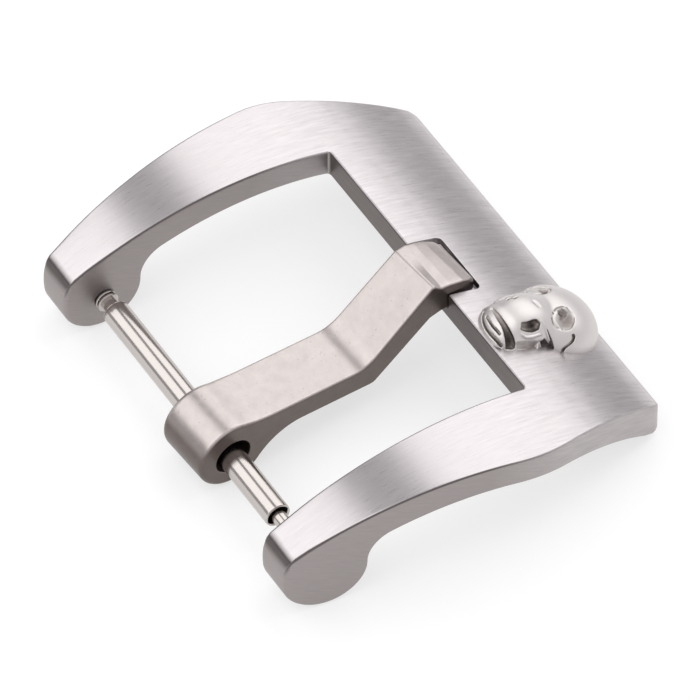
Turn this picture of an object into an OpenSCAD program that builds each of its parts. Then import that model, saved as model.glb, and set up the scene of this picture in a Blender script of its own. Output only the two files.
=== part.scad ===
// Pin buckle for a watch strap: arched frame, cast tongue, spring bar and a skull set on the front bar.
// X runs along the spring bar, Y runs forward to the front bar, Z is up. The spring bar's axis is the
// X axis and its middle is the origin. All sizes are in millimetres.

/* [Strap and spring bar] */
// strap width, the gap between the lugs at the spring bar
lug_gap = 24; // [16:1:30]
// spring bar tube, outside diameter
tube_d = 1.8; // [1.4:0.1:2.4]
// spring bar tube, bore
tube_bore_d = 1.44; // [1.1:0.02:1.6]
// tube length over the rolled ends
tube_len = 20; // [12:0.5:20.6]
// how far the tube has slid to the left of the middle
tube_slide = 0.7; // [0:0.05:1]
// length of the rolled lip at each end of the tube
lip_len = 0.3; // [0.2:0.05:0.6]
// pin shank that runs through the lip
shank_d = 1.1; // [0.7:0.05:1.2]
// length of the pin's tip inside the lug
tip_len = 0.75; // [0.4:0.05:1]
// diameter of the pin's two flange rings
flange_d = 1.5; // [1.2:0.05:1.8]
// thickness of one flange ring
flange_t = 0.16; // [0.1:0.02:0.3]
// groove between the two flange rings
flange_groove = 0.12; // [0.08:0.02:0.2]
// distance from the lug face to the pin's head inside the tube
head_from_lug = 3.2; // [2.6:0.1:4]
// length of the pin's head
head_len = 1; // [0.6:0.1:2]
// spring wire thickness
wire_d = 0.22; // [0.15:0.01:0.3]
// turns of the spring
coil_turns = 16; // [8:1:20]

/* [Arch of the frame] */
// radius of the frame's upper face, seen from the side
crown_r = 27.8; // [24:0.1:36]
// height of the highest point of the upper face over the spring bar's axis
crown_h = 5.43; // [4:0.05:7]
// distance from the spring bar to that highest point
crown_y = 9.4; // [7:0.1:11]
// thickness of the arch at its highest point
arch_t = 2.03; // [1.4:0.05:2.6]
// radius of the frame's underside
under_r = 22.3; // [20:0.1:26]
// how far the underside's highest point lies ahead of the upper face's
under_ahead = 0.65; // [0:0.05:2]
// rounding of the front edge
front_round = 0.7; // [0.2:0.05:1]

/* [Lugs] */
// radius of the round lug, seen from the side
lug_r = 2.72; // [2.2:0.05:3.2]
// height of the lug's middle over the spring bar's axis
lug_rise = 0.48; // [0:0.02:0.8]
// how far the lug's middle lies behind the spring bar's axis
lug_back = 0.16; // [0:0.02:0.5]
// lean of the lug's end face towards the front at the top
end_lean = 0.27; // [0:0.01:0.6]
// hollow corner between the lug and the arch
lug_fillet = 2.2; // [1:0.1:2.6]
// depth of the blind hole for the pin's tip
lug_hole_depth = 1.1; // [0.8:0.05:2]
// clearance all round between a pin's tip and its hole
hole_clear = 0.1; // [0.04:0.01:0.15]

/* [Outline from above] */
// thickness of an arm at the very end of its lug
arm_end_w = 2.85; // [2:0.05:4]
// overall width where the two sides of the shoulders would meet
shoulder_w = 35.1; // [31:0.1:42]
// distance from the spring bar to the shoulders
shoulder_y = 14.7; // [11:0.1:16]
// rounding of the shoulders
shoulder_round = 9; // [3:0.5:14]
// overall width at the front edge
front_w = 28.6; // [24:0.1:34]
// rounding of the two front corners
front_corner = 1.3; // [0.5:0.1:3]
// rounding of the outer corner of each lug
lug_corner = 0.8; // [0.3:0.1:1.4]
// distance from the spring bar to the window's front edge
window_y = 16.85; // [15:0.05:18]
// width of the window at its front edge
window_front_w = 23.44; // [20:0.02:26]
// width of the front bar, from the window to the front edge
front_bar_w = 8.5; // [6.5:0.1:11]

/* [Slot for the tongue] */
// width of the slot at the window
slot_w = 5.6; // [4.8:0.1:7]
// how much each side of the slot closes in towards its end
slot_close = 0.4; // [0:0.05:0.6]
// length of the slot
slot_len = 2.5; // [1.8:0.1:3.4]
// depth of the slot's floor below the upper face at the window
slot_sink = 1.35; // [0.9:0.05:1.5]

/* [Tongue] */
// diameter of the tongue's barrel
barrel_d = 4.9; // [4.2:0.1:5]
// how far the barrel's middle lies above its bore
barrel_rise = 0.22; // [0:0.02:0.3]
// clearance all round between the barrel's loose bore and the tube
bore_clear = 0.4; // [0.1:0.05:0.45]
// width of the barrel
barrel_w = 4.45; // [3.6:0.05:6]
// width of the tongue at its second bend
bend_w = 4.15; // [3:0.05:5]
// width of the tip
tip_w = 3.8; // [2.8:0.05:4]
// height of the lower limb's upper face at the barrel
limb_h = 2.12; // [1.6:0.02:2.4]
// drop of the lower limb from the barrel to the first bend
limb_drop = 0.68; // [0:0.02:1]
// distance from the spring bar to the first bend
limb_y = 10.4; // [8:0.1:12]
// thickness of the lower limb
limb_t = 1.85; // [1.2:0.05:2.2]
// distance of the second bend behind the window's front edge
bend_back = 0.95; // [0.4:0.05:1.6]
// height of the second bend over the front bar's edge
bend_over = 1.25; // [0.8:0.05:1.8]
// height of the tip's nose over the front bar
nose_over = 0.32; // [0.1:0.02:0.8]
// gap between the nose and the slot's end
nose_gap = 0.2; // [0.1:0.05:0.6]
// clearance under the resting tip
tip_clear = 0.03; // [0.01:0.01:0.1]
// sideways place of the loose barrel on the spring bar
tongue_x = 1.48; // [0:0.02:1.6]
// angle at which the loose tongue lies across the bar
tongue_skew = 3.4; // [0:0.1:4]

/* [Skull] */
// sideways place of the skull on the front bar
skull_x = 6.45; // [5.9:0.05:8]
// distance of the cranium's middle behind the front edge
skull_in = 3.05; // [2.8:0.05:4.4]
// radius of the cranium
cranium_r = 3; // [2.2:0.05:3.2]
// height of the cranium over the bar
cranium_h = 2; // [1.2:0.05:2.4]
// distance from the cranium's middle to the face
face_ahead = 2.7; // [2.2:0.05:3.2]
// radius of the face
face_r = 2.3; // [1.6:0.05:2.5]
// height of the face over the bar
face_h = 1.65; // [1:0.05:2]
// distance from the cranium's middle to the chin's middle
chin_ahead = 3.9; // [3.4:0.05:4.2]
// radius of the chin
chin_r = 1.5; // [1:0.05:1.8]
// height of the chin over the bar
chin_h = 1.05; // [0.7:0.05:1.4]
// distance between the two eye sockets
eye_gap = 2.6; // [2:0.05:3]
// radius of an eye socket
eye_r = 0.82; // [0.5:0.02:1]
// radius of the nose opening
nose_r = 0.36; // [0.2:0.02:0.5]
// radius of the hollow under each cheekbone
cheek_r = 0.75; // [0.4:0.05:0.9]
// width of the gap between the rows of teeth
mouth_gap = 0.4; // [0.2:0.02:0.6]

/* [Hidden] */
$fn = 96;
steel = [0.72, 0.71, 0.71];
cast = [0.66, 0.63, 0.61];
bright = [0.8, 0.8, 0.79];

front_y = window_y + front_bar_w;
base_z = lug_rise - lug_r;
back_y = -lug_back - lug_r;
crown_z = crown_h - crown_r;
under_y = crown_y + under_ahead;
under_z = crown_h - arch_t - under_r;
// height of the upper face at a distance from the spring bar
function crown_at(y) = crown_z + sqrt(crown_r * crown_r - (y - crown_y) * (y - crown_y));
// hollow corner at the lug: its circle touches the lug's front and the underside
fillet_y = -lug_back + lug_r + lug_fillet;
fillet_z = under_z + sqrt(pow(under_r - lug_fillet, 2) - pow(fillet_y - under_y, 2));
touch_y = under_y + (fillet_y - under_y) * under_r / (under_r - lug_fillet);
// rounding of the front edge: its circle's middle and where it touches the upper face
round_y = front_y - front_round;
round_z = crown_z + sqrt(pow(crown_r - front_round, 2) - pow(round_y - crown_y, 2));
top_touch = [crown_y, crown_z] + [round_y - crown_y, round_z - crown_z] * crown_r / (crown_r - front_round);

arm_end_x = lug_gap / 2 + arm_end_w;
slot_end_y = window_y + slot_len;
slot_floor = crown_at(window_y) - slot_sink;
bend_y = window_y - bend_back;
tip_hole_d = shank_d + 2 * hole_clear;
tube_left = -tube_len / 2 - tube_slide;
head_d = tube_bore_d - 0.1;
lip_d = shank_d + 0.1;

// where a corner at v, between a and b, is rounded by r: first touch, second touch, circle's middle
function unit(p) = p / norm(p);
function corner(a, v, b, r) =
    let (u = unit(a - v), w = unit(b - v), h = acos(u * w) / 2, m = unit(u + w))
    [v + u * r / tan(h), v + w * r / tan(h), v + m * r / sin(h)];

module across(width) { // a side profile drawn as distance and height, made width wide along X
    translate([-width / 2, 0, 0]) rotate([90, 0, 90]) linear_extrude(height = width) children();
}

module arch_profile() {
    difference() {
        intersection() {
            translate([crown_y, crown_z]) circle(r = crown_r, $fn = 360);
            translate([back_y, base_z]) square([front_y - back_y, crown_h - base_z + 1]);
        }
        translate([under_y, under_z]) circle(r = under_r, $fn = 360);
        // front edge: its rounding touches the upper face and the front face
        difference() {
            polygon([[round_y, round_z], top_touch, [front_y, crown_at(front_y) + 1],
                     [front_y + 1, crown_at(front_y) + 1], [front_y + 1, round_z]]);
            translate([round_y, round_z]) circle(r = front_round);
        }
    }
}

module lug_profile() {
    intersection() {
        translate([crown_y, crown_z]) circle(r = crown_r, $fn = 360);
        union() {
            translate([-lug_back, lug_rise]) circle(r = lug_r);
            difference() {
                polygon([[back_y, lug_rise], [back_y + end_lean, crown_h], [touch_y, crown_h],
                         [touch_y, min(fillet_z, lug_rise)], [-lug_back + lug_r, min(fillet_z, lug_rise)]]);
                translate([fillet_y, fillet_z]) circle(r = lug_fillet);
                translate([-lug_back + lug_r, base_z - 1]) square([lug_fillet * 2, fillet_z - base_z + 1]);
            }
        }
    }
}

module outline() { // the frame from above, before the window is cut
    e = [arm_end_x, back_y];
    s = [shoulder_w / 2, shoulder_y];
    f = [front_w / 2, front_y];
    ce = corner([0, back_y], e, s, lug_corner);
    cs = corner(e, s, f, shoulder_round);
    cf = corner(s, f, [0, front_y], front_corner);
    for (side = [0, 1]) mirror([side, 0]) {
        polygon([[0, back_y], ce[0], ce[1], cs[0], cs[1], cf[0], cf[1], [0, front_y]]);
        translate(ce[2]) circle(r = lug_corner);
        translate(cs[2]) circle(r = shoulder_round);
        translate(cf[2]) circle(r = front_corner);
    }
}

module window() {
    slope = (window_front_w - lug_gap) / 2 / window_y;
    a = lug_gap / 2 + slope * (back_y - 1);
    polygon([[-a, back_y - 1], [a, back_y - 1], [window_front_w / 2, window_y],
             [-window_front_w / 2, window_y]]);
}

module buckle_frame() {
    color(steel) difference() {
        intersection() {
            across(shoulder_w + 2) { arch_profile(); lug_profile(); }
            translate([0, 0, base_z - 1]) linear_extrude(height = crown_h - base_z + 2) outline();
        }
        translate([0, 0, base_z - 2]) linear_extrude(height = crown_h - base_z + 4) window();
        translate([0, 0, slot_floor]) linear_extrude(height = crown_h)
            polygon([[-slot_w / 2, window_y - 1], [slot_w / 2, window_y - 1], [slot_w / 2, window_y],
                     [slot_w / 2 - slot_close, slot_end_y], [slot_close - slot_w / 2, slot_end_y],
                     [-slot_w / 2, window_y]]);
        for (side = [-1, 1]) translate([side * (lug_gap / 2 - 1), 0, 0]) rotate([0, 90 * side, 0])
            cylinder(d = tip_hole_d, h = lug_hole_depth + 1);
    }
}

module skull_ornament() {
    cy = front_y - skull_in;
    face_y = cy - face_ahead;
    chin_y = cy - chin_ahead;
    eye_y = cy - 0.35;
    color(bright) difference() {
        union() {
            translate([skull_x, cy, crown_at(cy) + cranium_h - cranium_r]) sphere(r = cranium_r);
            translate([skull_x, face_y, crown_at(face_y) + face_h - face_r]) sphere(r = face_r);
            translate([skull_x, chin_y, crown_at(chin_y) + chin_h - chin_r]) sphere(r = chin_r);
        }
        // the bar's upper face, on which the skull sits
        across(4 * shoulder_w) translate([crown_y, crown_z]) circle(r = crown_r, $fn = 360);
        translate([skull_x - 5, front_y, -10]) cube([10, 10, 10 + crown_at(front_y)]);
        // eye sockets, nose, hollows under the cheekbones and the gap between the teeth
        for (side = [-1, 1]) {
            translate([skull_x + side * eye_gap / 2, eye_y, crown_at(eye_y) + cranium_h - 0.1])
                sphere(r = eye_r);
            translate([skull_x + side * (face_r - 0.2), face_y + 0.2, crown_at(face_y) + cheek_r])
                sphere(r = cheek_r);
        }
        translate([skull_x, face_y + 0.8, crown_at(face_y) + face_h]) sphere(r = nose_r);
        across_mouth = 2 * chin_r + 2;
        translate([skull_x - across_mouth / 2, chin_y - mouth_gap / 2, crown_at(chin_y) + chin_h / 3])
            cube([across_mouth, mouth_gap, chin_h + 1]);
    }
}

module limb_profile() { // both limbs and the tip, seen from the side
    bend_z = crown_at(window_y) + bend_over;
    nose_y = slot_end_y - nose_gap;
    nose_z = crown_at(nose_y) + nose_over;
    sole_z = slot_floor + tip_clear;
    kink_z = limb_h - limb_drop;
    polygon([[0, limb_h], [limb_y, kink_z], [bend_y, bend_z], [bend_y + 0.5, bend_z - 0.32],
             [window_y + 0.6, bend_z - 0.62], [nose_y - 0.7, nose_z + 0.42], [nose_y - 0.2, nose_z + 0.1],
             [nose_y, nose_z - 0.2], [nose_y, sole_z], [bend_y + 0.25, sole_z],
             [limb_y + 0.55, kink_z - limb_t + 0.02], [limb_y - 0.3, kink_z - limb_t + 0.05],
             [4.1, limb_h - limb_t - 0.28], [2.9, limb_h - limb_t - 0.85], [2.1, limb_h - limb_t - 1.35],
             [0, -1]]);
}

module limb_plan() { // the same, seen from above
    nose = tip_w / 2 - 0.35;
    polygon([[barrel_w / 2, 0], [bend_w / 2, bend_y], [tip_w / 2, bend_y + 0.4],
             [tip_w / 2, slot_end_y - 0.9], [nose, slot_end_y], [-nose, slot_end_y],
             [-tip_w / 2, slot_end_y - 0.9], [-tip_w / 2, bend_y + 0.4], [-bend_w / 2, bend_y],
             [-barrel_w / 2, 0]]);
}

module tongue() {
    color(cast) translate([tongue_x, 0, 0]) rotate([0, 0, tongue_skew]) difference() {
        union() {
            across(barrel_w) translate([0, barrel_rise]) circle(d = barrel_d);
            intersection() {
                across(barrel_w + 2) limb_profile();
                translate([0, 0, -20]) linear_extrude(height = 40) limb_plan();
            }
        }
        translate([-barrel_w, 0, 0]) rotate([0, 90, 0]) cylinder(d = tube_d + 2 * bore_clear, h = 2 * barrel_w);
    }
}

module spring_bar_tube() { // the profile is drawn as radius and distance along the bar
    color(bright) translate([tube_left, 0, 0]) rotate([0, 90, 0]) rotate_extrude()
        polygon([[lip_d / 2, 0], [tube_d / 2 - 0.2, 0], [tube_d / 2 - 0.06, 0.12], [tube_d / 2, 0.4],
                 [tube_d / 2, tube_len - 0.4], [tube_d / 2 - 0.06, tube_len - 0.12],
                 [tube_d / 2 - 0.2, tube_len], [lip_d / 2, tube_len], [lip_d / 2, tube_len - lip_len],
                 [tube_bore_d / 2, tube_len - lip_len - 0.12], [tube_bore_d / 2, lip_len + 0.12],
                 [lip_d / 2, lip_len]]);
}

module pin() { // stands on the lug's face at zero, its tip below and its head above
    f1 = 0.06;
    f2 = f1 + flange_t + flange_groove;
    end = head_from_lug + head_len;
    rotate_extrude() polygon([[0, -tip_len], [shank_d / 2 - 0.12, -tip_len],
        [shank_d / 2, 0.12 - tip_len], [shank_d / 2, f1], [flange_d / 2, f1], [flange_d / 2, f1 + flange_t],
        [shank_d / 2, f1 + flange_t], [shank_d / 2, f2], [flange_d / 2, f2], [flange_d / 2, f2 + flange_t],
        [shank_d / 2, f2 + flange_t], [shank_d / 2, head_from_lug], [head_d / 2, head_from_lug],
        [head_d / 2, end], [0, end]]);
}

module spring_bar_pin_left() {
    color(bright) translate([-lug_gap / 2, 0, 0]) rotate([0, 90, 0]) pin();
}

module spring_bar_pin_right() {
    color(bright) translate([lug_gap / 2, 0, 0]) rotate([0, -90, 0]) pin();
}

module spring_bar_coil() {
    len = lug_gap - 2 * (head_from_lug + head_len);
    sweep = 360 * wire_d * coil_turns / len; // the turn that the wire's own thickness takes up
    r = head_d / 2 - 0.02;
    color(steel) translate([-len / 2, 0, 0]) rotate([0, 90, 0])
        linear_extrude(height = len, twist = -360 * coil_turns, slices = 10 * coil_turns, $fn = 10)
            polygon([for (i = [0:2]) r * [cos(sweep * i / 2), sin(sweep * i / 2)],
                     for (i = [2:-1:0]) (r - wire_d) * [cos(sweep * i / 2), sin(sweep * i / 2)]]);
}

buckle_frame();
skull_ornament();
tongue();
spring_bar_tube();
spring_bar_pin_left();
spring_bar_pin_right();
spring_bar_coil();
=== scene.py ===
import bpy
import math
from mathutils import Euler, Matrix, Vector
from mathutils.bvhtree import BVHTree


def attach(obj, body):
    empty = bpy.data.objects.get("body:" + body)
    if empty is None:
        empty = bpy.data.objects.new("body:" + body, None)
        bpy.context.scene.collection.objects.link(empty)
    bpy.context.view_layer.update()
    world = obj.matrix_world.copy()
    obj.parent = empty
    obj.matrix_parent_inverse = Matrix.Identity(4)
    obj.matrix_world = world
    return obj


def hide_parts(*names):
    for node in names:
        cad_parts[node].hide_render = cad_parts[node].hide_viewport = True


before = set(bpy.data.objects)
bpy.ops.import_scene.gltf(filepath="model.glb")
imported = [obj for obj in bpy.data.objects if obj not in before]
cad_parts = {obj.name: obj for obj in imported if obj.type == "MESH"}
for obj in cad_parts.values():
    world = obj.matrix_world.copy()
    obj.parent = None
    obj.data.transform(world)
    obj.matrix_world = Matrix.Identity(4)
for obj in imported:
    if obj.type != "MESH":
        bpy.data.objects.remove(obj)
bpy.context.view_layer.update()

cameraView = {   # the photograph's own view, in metres and degrees; the skull's strokes read it too
    "location": (0.3352245, -0.1953064, 0.4654676), "turn": (40.218, 0.169, 58.178),
    "lens": 489.75, "sensor": 36, "pixels": 700, "near": 0.01, "far": 10,
}


def toLinear(hexColor):
    parts = [int(hexColor[i:i + 2], 16) / 255 for i in (0, 2, 4)]
    return [c / 12.92 if c <= 0.04045 else ((c + 0.055) / 1.055) ** 2.4 for c in parts] + [1]


def deselectAll():
    if bpy.context.object and bpy.context.object.mode != "OBJECT":
        bpy.ops.object.mode_set(mode="OBJECT")
    bpy.ops.object.select_all(action="DESELECT")


def pick(*objs):   # selects these and makes the first one active
    deselectAll()
    for obj in objs:
        obj.select_set(True)
    bpy.context.view_layer.objects.active = objs[0]
    return objs[0]


def applyModifier(obj, kind, **settings):
    pick(obj)
    mod = obj.modifiers.new(kind.lower(), kind)
    for key, value in settings.items():
        setattr(mod, key, value)
    bpy.ops.object.modifier_apply(modifier=mod.name)


def cut(obj, tool, how="DIFFERENCE", solver="EXACT"):   # boolean with a tool that is then thrown away
    applyModifier(obj, "BOOLEAN", operation=how, object=tool, solver=solver)
    bpy.data.objects.remove(tool)


def traceOutline(name, points):   # walks round a closed outline by extruding one vertex, then fills it
    deselectAll()
    bpy.ops.mesh.primitive_plane_add(size=1, location=points[0])
    obj = bpy.context.object
    obj.name = name
    bpy.ops.object.mode_set(mode="EDIT")
    bpy.ops.mesh.select_all(action="SELECT")
    bpy.ops.mesh.merge(type="CENTER")
    for a, b in zip(points, points[1:]):
        bpy.ops.mesh.extrude_vertices_move(TRANSFORM_OT_translate={"value": [q - p for p, q in zip(a, b)]})
    bpy.ops.mesh.select_all(action="SELECT")
    bpy.ops.mesh.edge_face_add()
    bpy.ops.object.mode_set(mode="OBJECT")
    bpy.ops.object.transform_apply(location=True)
    return obj


def pullOut(obj, step):   # extrudes the filled outline into a solid
    pick(obj)
    bpy.ops.object.mode_set(mode="EDIT")
    bpy.ops.mesh.select_all(action="SELECT")
    bpy.ops.mesh.extrude_region_move(TRANSFORM_OT_translate={"value": step})
    bpy.ops.mesh.select_all(action="SELECT")
    bpy.ops.mesh.normals_make_consistent(inside=False)
    bpy.ops.object.mode_set(mode="OBJECT")
    return obj


def arc(cx, cy, r, start, end, n):   # points on a circle, angles in degrees
    return [(cx + r * math.cos(math.radians(start + (end - start) * i / n)),
             cy + r * math.sin(math.radians(start + (end - start) * i / n))) for i in range(n + 1)]


def spinOutline(name, profile, steps=64):   # profile: distance along X and radius, spun into a closed solid
    obj = traceOutline(name, [(x, r, 0) for x, r in profile])
    pick(obj)
    bpy.ops.object.mode_set(mode="EDIT")
    bpy.ops.mesh.select_all(action="SELECT")
    bpy.ops.mesh.delete(type="ONLY_FACE")
    bpy.ops.mesh.select_all(action="SELECT")
    bpy.ops.mesh.spin(steps=steps, angle=2 * math.pi, center=(0, 0, 0), axis=(1, 0, 0))
    bpy.ops.mesh.select_all(action="SELECT")
    bpy.ops.mesh.remove_doubles(threshold=0.0005)
    bpy.ops.mesh.select_all(action="SELECT")
    bpy.ops.mesh.normals_make_consistent(inside=False)
    bpy.ops.object.mode_set(mode="OBJECT")
    return obj


def smoothStep(share):   # eases a share between 0 and 1
    share = max(0, min(1, share))
    return share * share * (3 - 2 * share)


def toMetres(obj):   # pieces are modelled in millimetres
    pick(obj)
    bpy.ops.object.mode_set(mode="EDIT")
    bpy.ops.mesh.select_all(action="SELECT")
    bpy.ops.transform.resize(value=(0.001, 0.001, 0.001), center_override=(0, 0, 0))
    bpy.ops.object.mode_set(mode="OBJECT")
    return obj


# Frame: side profile crossed with the plan, then window, slot and holes
frameSizes = {   # millimetres
    "lugGap": 24, "windowFrontWidth": 23.44, "windowY": 16.85, "frontY": 25.46,
    "crownRadius": 27.8, "crownHeight": 5.43, "crownY": 9.4,
    "archThickness": 2.17, "underRadius": 22.3, "underY": 10.05, "frontRound": 0.95, "frontFootRound": 0.85,
    "lugRadius": 2.84, "lugRise": 0.42, "lugBack": 0.1, "endLean": 0.33, "lugFillet": 2.2, "endBulge": 0.13,
    "armEndX": 14.85, "shoulderX": 17.55, "shoulderY": 14.7, "shoulderRound": 9,
    "frontX": 14.65, "frontCorner": 0.9, "leftBulge": 0.24,
    "slotWidth": 5, "slotShift": 0.12, "slotLength": 2.5, "slotSink": 1.35, "slotCorner": 0.35,
    "holeRadius": 0.65, "holeDepth": 1.1,
    "edgeRound": 0.19, "lugSideRound": 0.28, "holeRound": 0.05, "slotRound": 0.08,
    "lugTopRound": 0.55, "lugTopWorn": 0.85, "wornReach": 1.7,   # the round grows to each lug's left corner
    "wornInset": 0.15, "wornCuts": (0.3, 0.45, 0.6, 0.8, 1), "wornZone": (3.2, 1, 0.5),
    "endBulgeAt": (0.12, 0.24, 0.36, 0.48, 0.58), "leftBulgeAt": (0.2, 0.32, 0.44, 0.56, 0.68, 0.8, 0.9),
    "blankHalf": 18, "toolFloor": -6, "toolHeight": 16, "overshoot": 1, "armOvershoot": 1.2,
    "windowRoom": 0.3, "underRoom": 0.9, "slotRoom": 0.2, "frontRoom": 0.5, "endRoom": 0.3,   # no points there
    "crownSteps": 84, "underSteps": 64, "lugSteps": 44, "filletSteps": 16,
    "shoulderSteps": 14, "cornerSteps": 6, "holeSteps": 48, "roundSteps": 4,
    "lugZone": 1.5, "sideFade": (0.8, 3), "touching": 0.01, "mergeWithin": 0.03,
    "flatWithin": 0.15,   # degrees
}


def crownAt(y, s=frameSizes):   # height of the upper face
    return s["crownHeight"] - s["crownRadius"] + math.sqrt(s["crownRadius"] ** 2 - (y - s["crownY"]) ** 2)


def keepClear(line, zones):   # drops the points inside the zones (in Y), where a cut or a round needs room
    return [p for p in line if not any(a < p[0] < b for a, b in zones)]


def roundedCorner(a, v, b, r, n):   # the corner at v, between a and b, rounded by r
    a, v, b = Vector(a), Vector(v), Vector(b)
    u, w = (a - v).normalized(), (b - v).normalized()
    half = math.acos(max(-1, min(1, u.dot(w)))) / 2
    mid = v + (u + w).normalized() * r / math.sin(half)
    p, q = v + u * r / math.tan(half), v + w * r / math.tan(half)
    start = math.degrees(math.atan2(p.y - mid.y, p.x - mid.x))
    end = math.degrees(math.atan2(q.y - mid.y, q.x - mid.x))
    end += 360 * round((start - end) / 360)
    return arc(mid.x, mid.y, r, start, end, n)


def makeFrame(s=frameSizes):
    crownZ = s["crownHeight"] - s["crownRadius"]
    underZ = s["crownHeight"] - s["archThickness"] - s["underRadius"]
    baseZ, backY = s["lugRise"] - s["lugRadius"], -s["lugBack"] - s["lugRadius"]
    filletY = -s["lugBack"] + s["lugRadius"] + s["lugFillet"]
    filletZ = underZ + math.sqrt((s["underRadius"] - s["lugFillet"]) ** 2 - (filletY - s["underY"]) ** 2)
    frontAngle = math.degrees(math.acos((s["frontY"] - s["crownY"]) / s["crownRadius"]))
    endY = backY + s["endLean"]
    endZ = crownZ + math.sqrt(s["crownRadius"] ** 2 - (endY - s["crownY"]) ** 2)
    endAngle = math.degrees(math.atan2(endZ - crownZ, endY - s["crownY"]))
    filletAngle = math.degrees(math.atan2(filletZ - underZ, filletY - s["underY"]))
    footAngle = math.degrees(math.asin((baseZ - underZ) / s["underRadius"]))
    slotEnd = s["windowY"] + s["slotLength"]
    windowZone = (s["windowY"] - s["windowRoom"], s["windowY"] + s["windowRoom"])
    underZone = (s["windowY"] - s["underRoom"], s["windowY"] + s["windowRoom"])
    slotZone = (slotEnd - s["slotRoom"], slotEnd + s["slotRoom"])
    frontZone = (s["frontY"] - s["frontRound"] - s["frontRoom"], s["frontY"] - s["touching"])
    endZone = (endY + s["touching"], endY + s["lugTopWorn"] + s["endRoom"])
    upper = arc(s["crownY"], crownZ, s["crownRadius"], endAngle, frontAngle, s["crownSteps"])
    under = arc(s["underY"], underZ, s["underRadius"], footAngle, filletAngle, s["underSteps"])
    side = keepClear(upper, (windowZone, slotZone, frontZone, endZone))
    side += [(s["frontY"], baseZ)]
    side += keepClear(under, (underZone, frontZone))
    side += arc(filletY, filletZ, s["lugFillet"], filletAngle, 180, s["filletSteps"])[1:]
    side += arc(-s["lugBack"], s["lugRise"], s["lugRadius"], 0, -180, s["lugSteps"])[1:]
    foot, top = Vector((backY, s["lugRise"])), Vector((endY, endZ))
    for share in s["endBulgeAt"]:   # the end swells a little up to its rounded edge
        swell = (top - foot).orthogonal().normalized() * 4 * share * (1 - share) * s["endBulge"]
        side.append(tuple(foot + (top - foot) * share + swell * (-1 if swell.x > 0 else 1)))
    halfWidth, low, tall = s["blankHalf"], s["toolFloor"], (0, 0, s["toolHeight"])
    body = pullOut(traceOutline("frameBody", [(-halfWidth, y, z) for y, z in side]), (2 * halfWidth, 0, 0))

    end, shoulder = (s["armEndX"], backY), (s["shoulderX"], s["shoulderY"])
    front = (s["frontX"], s["frontY"])
    flare = (shoulder[0] - end[0]) / (shoulder[1] - end[1])
    half = [(end[0] - s["armOvershoot"] * flare, backY - s["armOvershoot"])]
    half += roundedCorner(end, shoulder, front, s["shoulderRound"], s["shoulderSteps"])
    half += [front]
    (x1, y1), (x2, y2) = half[:2]   # the left arm's outer edge swells a little
    swell = [(x1 + (x2 - x1) * t + s["leftBulge"] * math.sin(math.pi * t), y1 + (y2 - y1) * t)
             for t in s["leftBulgeAt"]]
    plan = half + [(-x, y) for x, y in reversed(half[:1] + swell + half[1:])]
    cut(body, pullOut(traceOutline("plan", [(x, y, low) for x, y in plan]), tall), "INTERSECT")

    back = backY - s["overshoot"]
    b = s["windowFrontWidth"] / 2
    a = s["lugGap"] / 2 + (b - s["lugGap"] / 2) / s["windowY"] * back
    window = [(-a, back, low), (a, back, low), (b, s["windowY"], low), (-b, s["windowY"], low)]
    cut(body, pullOut(traceOutline("window", window), tall))

    floorZ = crownAt(s["windowY"]) - s["slotSink"]
    left, right = s["slotShift"] - s["slotWidth"] / 2, s["slotShift"] + s["slotWidth"] / 2
    back, soft, steps = s["windowY"] - s["overshoot"], s["slotCorner"], s["cornerSteps"]
    slot = [(left, back)] + roundedCorner((left, back), (left, slotEnd), (0, slotEnd), soft, steps)
    slot += roundedCorner((0, slotEnd), (right, slotEnd), (right, back), soft, steps) + [(right, back)]
    cut(body, pullOut(traceOutline("slot", [(x, y, floorZ) for x, y in slot]), (0, 0, -low)))

    depth = s["holeDepth"] + s["overshoot"]
    for sign in (-1, 1):   # blind holes for the pins
        deselectAll()
        bpy.ops.mesh.primitive_cylinder_add(
            vertices=s["holeSteps"], radius=s["holeRadius"], depth=depth, rotation=(0, math.pi / 2, 0),
            location=(sign * (s["lugGap"] / 2 + (s["holeDepth"] - s["overshoot"]) / 2), 0, 0))
        cut(body, bpy.context.object)
    return body


def cleanFrame(body, s=frameSizes):   # joins what the cuts left split
    pick(body)
    bpy.ops.object.mode_set(mode="EDIT")
    bpy.ops.mesh.select_all(action="SELECT")
    bpy.ops.mesh.remove_doubles(threshold=s["mergeWithin"])
    bpy.ops.mesh.dissolve_limited(angle_limit=math.radians(s["flatWithin"]))
    bpy.ops.object.mode_set(mode="OBJECT")


def cutForWear(body, s=frameSizes):   # cuts across the upper face's two ends, so that their round can grow
    wide, reach, low = s["wornZone"]
    bpy.ops.object.mode_set(mode="EDIT")
    bpy.ops.mesh.select_mode(type="FACE")
    bpy.ops.mesh.select_all(action="DESELECT")
    bpy.ops.object.mode_set(mode="OBJECT")
    for leftX in (-s["armEndX"] + s["wornInset"], s["lugGap"] / 2):
        for share in s["wornCuts"]:
            for face in body.data.polygons:
                x, y, z = face.center
                face.select = abs(x - leftX) < wide and y < reach and z > low
            bpy.ops.object.mode_set(mode="EDIT")
            bpy.ops.mesh.bisect(plane_co=(leftX + share * s["wornReach"], 0, 0), plane_no=(1, 0, 0))
            bpy.ops.object.mode_set(mode="OBJECT")
    bpy.ops.object.mode_set(mode="EDIT")
    bpy.ops.mesh.select_mode(type="VERT")
    bpy.ops.object.mode_set(mode="OBJECT")


buckle = makeFrame()
cleanFrame(buckle)
cutForWear(buckle)


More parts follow.
